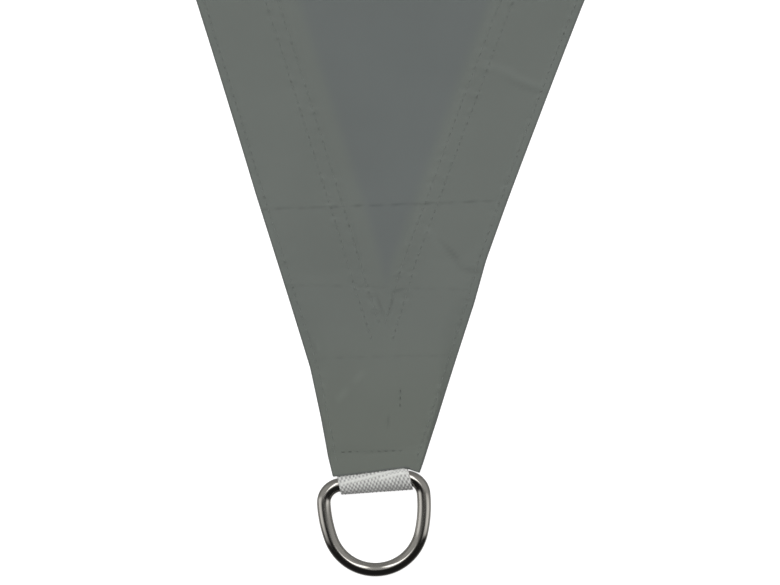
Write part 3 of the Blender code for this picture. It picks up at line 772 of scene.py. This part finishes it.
def pocket_rows(name, mouth_places):
    """The pocket's roof and floor, as two grids from the mouth in: over the webbing's leg, and level under
    it. The roof starts just behind the mouth: three corrections bring its start to the mouth's line."""
    width = mouth_places[:, 0]
    width = (width - width.mean()) / np.ptp(width) * 2 * POCKET_HALF
    lean = math.tan(WEB_LEAN[name])

    def grid_at(along, height):
        across = width + WEB_SHIFT[name] - lean * along
        return from_bar_frame(name, np.stack([across, along, height], axis=-1))

    mouth = 0 * width
    for _ in range(3):
        place = grid_at(mouth, 0 * mouth)
        mouth = mouth + np.interp(place[:, 0], mouth_places[:, 0], mouth_places[:, 1]) - place[:, 1]
    start = mouth + BEHIND_MOUTH
    end = WEB_LEG + WEB_TAIL + GAP
    share = np.linspace(0, 1, POCKET_ROWS)[:, None]
    roof_along = start + (end - start) * share
    floor_along = LOWER_LEG + (end - LOWER_LEG) * share + 0 * mouth
    slope_room = LEG_SLOPE_ROOM * np.sin(np.pi * np.clip(roof_along / WEB_LEG, 0, 1))
    roof = TAIL_HEIGHT + leg_height(roof_along) + WEB_THICK / 2 + GAP + slope_room
    floor = POCKET_FLOOR + 0 * floor_along
    return in_corner(name, grid_at(roof_along, roof)), in_corner(name, grid_at(floor_along, floor))


def coated_polyester():
    """Plain-woven polyester with a thin matt coating: flat grey-green, a shade bluer in a single layer."""
    finish, tree, shader = new_finish("coated_polyester_sailcloth")
    layers = add_node(tree, "ShaderNodeAttribute", attribute_name="hem")
    rim = add_node(tree, "ShaderNodeAttribute", attribute_name="rim")
    painted_shading_fac = add_node(tree, "ShaderNodeAttribute", attribute_name="painted_shading")
    place = add_node(tree, "ShaderNodeTexCoord").outputs["Object"]
    colour = linear(CLOTH_SINGLE)
    crossed = add_node(tree, "ShaderNodeMath", {0: layers.outputs["Fac"], 1: 1.0}, operation="SUBTRACT",
                       use_clamp=True)
    # The tones of the layers, then painted shade at the rim
    for share, other in ((layers.outputs["Fac"], CLOTH_HEM), (crossed.outputs[0], CLOTH_CROSSED),
                         (rim.outputs["Fac"], CLOTH_RIM_SHADE)):
        inputs = {"Factor": share, 6: colour, 7: linear(other)}
        colour = add_node(tree, "ShaderNodeMix", inputs, data_type="RGBA").outputs[2]
    uneven = stretched(tree, noise(tree, size=55 * MM, detail=3.0), 0.972, 1.028)
    # Painted shade and painted highlight from the relief, over a random tone
    level = add_node(tree, "ShaderNodeMath", {0: painted_shading_fac.outputs["Fac"], 1: -PAINTED_SHADE_STRENGTH, 2: uneven},
                     operation="MULTIPLY_ADD")
    shade = add_node(tree, "ShaderNodeVectorMath", {0: colour, "Scale": level.outputs[0]}, operation="SCALE")
    # The real threads are about 0.3 mm apart, too fine to show, so the weave is drawn at twice that
    inputs = {"Vector": place, "Scale": math.pi / (10 * WEAVE)}
    warp, weft = (add_node(tree, "ShaderNodeTexWave", inputs, bands_direction=direction).outputs["Fac"]
                  for direction in "XY")
    cross = add_node(tree, "ShaderNodeMath", {0: warp, 1: weft}, operation="MULTIPLY").outputs[0]
    tree.links.new(shade.outputs[0], shader.inputs["Base Color"])
    roughen(tree, shader, cross, strength=0.12, depth=0.05 * MM)
    shader.inputs["Roughness"].default_value = 0.8
    shader.inputs["Specular IOR Level"].default_value = 0.3
    return finish


sailcloth = coated_polyester()
points, faces, values, count = [], [], {"hem": [], "rim": [], "painted_shading": []}, 0
for corner in HEADING:
    top, under, tints, places = cloth_rows(corner)
    width = top.shape[1]
    roof, floor = pocket_rows(corner, places[0])
    # Under the webbing's lower leg the underside starts further in, where the pocket's floor does
    from_axis = np.abs(places[0, :, 0] - places[0, :, 0].mean())
    inside = np.clip((POCKET_HALF - from_axis) / POCKET_SIDE, 0, 1)[:, None]
    start = floor[0] * [1, 1, 0]
    under[0] += inside * (start - under[0])
    for k in range(1, GATHER_ROWS + 1):
        under[k] += np.clip(inside * (GATHER_ROWS + 1 - k) / (GATHER_ROWS + 1), 0, 1) * (start - under[k])
    outer = np.concatenate([top, under[:, ::-1]], axis=1)[::-1]
    pocket = np.concatenate([roof, floor[:, ::-1]], axis=1)
    tube = np.concatenate([outer, pocket])
    rows, loop = tube.shape[:2]
    last = (rows - 1) * loop
    across = np.arange(width - 1)
    beside = last + loop - 1 - across
    cap = np.stack([last + across, last + across + 1, beside - 1, beside], axis=-1)
    faces += [grid_faces(rows, loop, ring=True)[:, ::-1] + count, cap[:, ::-1] + count]
    for label, value in tints.items():
        inside_pocket = np.full(pocket.shape[0] * loop, float(label != "painted_shading"))
        values[label] += [np.concatenate([value, value[:, ::-1]], axis=1)[::-1].ravel(), inside_pocket]
    points.append(tube.reshape(-1, 3))
    count += rows * loop
values = {label: np.concatenate(value) for label, value in values.items()}
cloth = add_piece("sail", np.concatenate(points), faces, sailcloth, values)

# The three thirds meet on the lines from the middle of the sail to the middle of each edge
joined = bmesh.new()
joined.from_mesh(cloth.data)
bmesh.ops.remove_doubles(joined, verts=joined.verts, dist=0.001 * MM)
joined.to_mesh(cloth.data)
joined.free()
cloth.data.set_sharp_from_angle(angle=math.radians(60))

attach(cloth, "root")
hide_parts("sail_cloth")
# Its unlit mouth would show in the ring as a black patch, where the real one is grey
cloth.visible_glossy = False

# --------------------------------------------------------------------------------
# The sewing
# Bonded polyester thread of the cloth's own grey: a row near the edge, two along the hem's inner side, and
# darker short rows that hold the webbing in its pocket. Each stitch is a low arch between needle holes.

STITCH = 4.2 * MM
PER_STITCH = 5  # points along each, from just after one needle hole to just before the next
STITCH_POINTS = np.linspace(0.06, 0.94, PER_STITCH)
THREAD = 0.26 * MM  # half its width
THREAD_RISE = 0.16 * MM
THREAD_DIP = 0.28 * MM
THREAD_GREY = "#767B77"
THREAD_DARK = "#595D59"

# Rows over the webbing, from and to in a corner's frame: across the strip and up it
CORNER_ROWS = np.array([
    # across0, along0, across1, along1
    (-22, 72.2, 18, 74.4),
    (12.5, 111, 12.5, 98),
]) * MM


def hem_row(name, side, seam):
    """Points on the cloth along one seam from a corner to the middle of its edge: five to each stitch."""
    start = MOUTH[name] + SEAM_START[seam]
    count = int((SIDE / 2 - start) / STITCH)
    from_end = start + (np.arange(count)[:, None] + STITCH_POINTS) * STITCH
    from_end = from_end.reshape(-1, 1)
    row = from_both_edges(name, from_end, seam + 0 * from_end, side)
    return on_cloth(name, from_end, *row).reshape(-1, PER_STITCH, 3)


def corner_row(name, across0, along0, across1, along1):
    """Points on the cloth along one straight row over the webbing, five to each stitch."""
    length = math.hypot(across1 - across0, along1 - along0)
    count = int(length / STITCH)
    share = ((np.arange(count)[:, None] + STITCH_POINTS) * STITCH / length).reshape(-1, 1)
    places = np.stack([across0 + (across1 - across0) * share, along0 + (along1 - along0) * share], axis=-1)
    from_end = places[..., 1]
    for _ in range(3):
        left, middle, right = row_ends(name, from_end)
        from_end = from_end + places[..., 1] - middle[..., 1]
    from_left = np.linalg.norm(places - left, axis=-1)
    from_right = np.linalg.norm(places - right, axis=-1)
    return on_cloth(name, from_end, places, from_left, from_right).reshape(-1, PER_STITCH, 3)


def stitches(name, rows, finish):
    """Thread along rows of five points a stitch: an arch by a sine, with a three-sided section that narrows
    to its ends."""
    line = np.concatenate(rows)
    arch = np.sin(np.linspace(0, np.pi, PER_STITCH))[None, :, None]
    run = line[:, -1:] - line[:, :1]
    aside = np.stack([run[..., 1], -run[..., 0], 0 * run[..., 0]], axis=-1)
    aside = aside / np.linalg.norm(aside, axis=-1, keepdims=True)
    up = np.array([0, 0, 1.0])
    middle = line + up * (THREAD_RISE * arch - THREAD_DIP * (1 - arch))
    width = THREAD * (0.25 + 0.75 * arch)
    section = np.stack([middle - aside * width, middle + up * width / 2, middle + aside * width], axis=2)
    one = grid_faces(PER_STITCH, 3, ring=True)
    last = 3 * PER_STITCH - 1
    first = np.arange(len(line))[:, None, None] * (last + 1)
    ends = np.array([[0, 1, 2], [last, last - 1, last - 2]])
    faces = [(one + first).reshape(-1, 4), (ends + first).reshape(-1, 3)]
    return add_piece(name, section, faces, finish)


def bonded_thread(name, colour):
    """Twisted polyester thread with a smooth bonded skin: a little glossier than the cloth."""
    finish, tree, shader = new_finish(name)
    shader.inputs["Base Color"].default_value = linear(colour)
    shader.inputs["Roughness"].default_value = 0.55
    # The real twist is 0.3 mm long, too fine to show, so it is drawn at three times that
    roughen(tree, shader, noise(tree, size=0.9 * MM, detail=1.0), strength=0.4, depth=0.1 * MM)
    return finish


thread = bonded_thread("bonded_polyester_thread", THREAD_GREY)
dark_thread = bonded_thread("bonded_polyester_thread_dark", THREAD_DARK)
hem_rows = {
    seam: [hem_row(corner, side, seam) for corner in HEADING for side in (-1, 1)] for seam in SEAM_START
}
corner_rows = [corner_row(corner, *row) for corner in HEADING for row in CORNER_ROWS]
sewing = [
    stitches("outer_seam", hem_rows[OUTER_SEAM], thread),
    stitches("inner_seam", hem_rows[INNER_SEAMS[0]] + hem_rows[INNER_SEAMS[1]], thread),
    stitches("corner_seam", corner_rows, dark_thread),
]
for seam in sewing:
    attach(seam, "root")

# --------------------------------------------------------------------------------
# The studio
# The sail lies on a white table under even light, seen from straight above. Two long bright strips
# overhead, a soft light at either side and a dim ceiling give the ring its bright, grey and black bands.

# What the camera sees: its width on the table, and its middle from the front ring's end
SEEN_WIDTH = 457 * MM
SEEN_ACROSS = 4.8 * MM
SEEN_ALONG = 166.3 * MM
CAMERA_ROLL = math.radians(1.66)
LENS = 180
SENSOR = 36
TABLE_SIZE = 60
AROUND = np.linspace(0, 2 * math.pi, 96, endpoint=False)[None, :]  # directions of a circle's points

camera_data = bpy.data.cameras.new("camera")
camera_data.lens = LENS
camera_data.sensor_width = SENSOR
camera = bpy.data.objects.new("camera", camera_data)
camera.location = (SEEN_ACROSS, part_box("ring_front")[0].y + SEEN_ALONG, SEEN_WIDTH * LENS / SENSOR)
camera.rotation_euler = (0, 0, CAMERA_ROLL)
bpy.context.scene.collection.objects.link(camera)
bpy.context.scene.camera = camera


def plain_white(name, grey, glow):
    """A matt surface that shows as plain white: its own glow stands for the strong light on it."""
    finish, _, shader = new_finish(name)
    shader.inputs["Base Color"].default_value = (grey, grey, grey, 1)
    shader.inputs["Roughness"].default_value = 1.0
    shader.inputs["Specular IOR Level"].default_value = 0.0
    shader.inputs["Emission Color"].default_value = (1, 1, 1, 1)
    shader.inputs["Emission Strength"].default_value = glow
    return finish


def disc_of(radius):
    """A flat disc as two rings of points about its middle."""
    rings = np.array([0.02, 1])[:, None] * radius
    return np.stack([rings * np.cos(AROUND), rings * np.sin(AROUND), 0 * rings * AROUND], axis=-1)


def dome_of(radius):
    """Half a sphere that opens down, as rings of points from its rim to near its top."""
    rise = np.linspace(-0.02, 0.499 * math.pi, 24)[:, None]
    return radius * np.stack([np.cos(rise) * np.cos(AROUND), np.cos(rise) * np.sin(AROUND),
                              np.sin(rise) + 0 * AROUND], axis=-1)


disc = disc_of(TABLE_SIZE)
table_faces = [grid_faces(2, disc.shape[1], ring=True)[:, ::-1], np.arange(disc.shape[1])[None, :]]
table = add_piece("table", disc, table_faces, plain_white("white_table", grey=0.35, glow=0.9))
dome = dome_of(TABLE_SIZE * 0.9)
dome_faces = [grid_faces(*dome.shape[:2], ring=True)]
backdrop = add_piece("backdrop", dome, dome_faces, plain_white("white_backdrop", grey=0.0, glow=1.2))
backdrop.visible_diffuse = False
for part in (table, backdrop):
    part.visible_glossy = False
    part.visible_transmission = False
backdrop.visible_shadow = False

sky = bpy.data.worlds.new("studio")
sky.use_nodes = True
bpy.context.scene.world = sky


def studio_light(tree):
    """Brightness by direction: over the sail's middle a grey ceiling with two long bright strips side by
    side, a soft light at the left and the right, the left one wider, black in front, and the table below."""
    def calculate(operation, *values):
        return add_node(tree, "ShaderNodeMath", dict(enumerate(values)), operation=operation).outputs[0]

    def between(value, low, high, start=0.0, end=1.0):
        return add_node(tree, "ShaderNodeMapRange",
                        {"Value": value, "From Min": low, "From Max": high, "To Min": start, "To Max": end},
                        interpolation_type="SMOOTHSTEP").outputs["Result"]

    place = add_node(tree, "ShaderNodeTexCoord")
    x, y, z = add_node(tree, "ShaderNodeSeparateXYZ", {0: place.outputs["Generated"]}).outputs
    aside = calculate("ABSOLUTE", x)
    from_axis = calculate("ABSOLUTE", calculate("ADD", x, 0.025))
    from_strip = calculate("ABSOLUTE", calculate("SUBTRACT", from_axis, 0.19))
    along_strip = calculate("MULTIPLY", between(y, -0.06, 0.17), between(y, 0.45, 0.8, 1.0, 0.0))
    strips = calculate("MULTIPLY", between(from_strip, 0.03, 0.13, 2.7, 0.0), along_strip)
    ceiling = calculate("MULTIPLY", between(y, -0.22, 0.1, 0.015, 0.37), between(y, 0.5, 0.95, 1.0, 0.65))
    wider = calculate("MAXIMUM", calculate("MULTIPLY_ADD", x, -0.9, 1.0), 1.0)
    from_side = calculate("DIVIDE", calculate("ABSOLUTE", calculate("ADD", y, 0.13)), wider)
    sides = calculate("MULTIPLY", between(from_side, 0.08, 0.24, 1.0, 0.0),
                      between(aside, 0.4, 0.9, 0.0, 0.86))
    upper = calculate("MAXIMUM", calculate("MAXIMUM", strips, ceiling), sides)
    in_front = calculate("MULTIPLY_ADD", calculate("POWER", calculate("ABSOLUTE", z), 4.0), 0.75, 0.03)
    at_side = calculate("MULTIPLY", between(aside, 0.5, 0.95, 0.0, 0.25), between(from_side, 0.2, 0.05))
    is_behind = between(y, -0.15, 0.05)
    lower = add_node(tree, "ShaderNodeMix", {"Factor": is_behind, 2: in_front, 3: 0.22}).outputs[0]
    is_up = between(z, -0.06, 0.02)
    both = add_node(tree, "ShaderNodeMix", {"Factor": is_up, 2: calculate("ADD", lower, at_side), 3: upper})
    return both.outputs[0]


background = sky.node_tree.nodes["Background"]
background.inputs["Color"].default_value = (1, 0.995, 0.98, 1)
sky.node_tree.links.new(studio_light(sky.node_tree), background.inputs["Strength"])

key = bpy.data.lights.new("overhead_light", "SUN")
key.energy = 1.91
key.angle = math.radians(30)
lamp = bpy.data.objects.new("overhead_light", key)
lamp.rotation_euler = (math.radians(-15), math.radians(-3), 0)
lamp.visible_glossy = False
bpy.context.scene.collection.objects.link(lamp)

bpy.context.scene.view_settings.view_transform = "Standard"
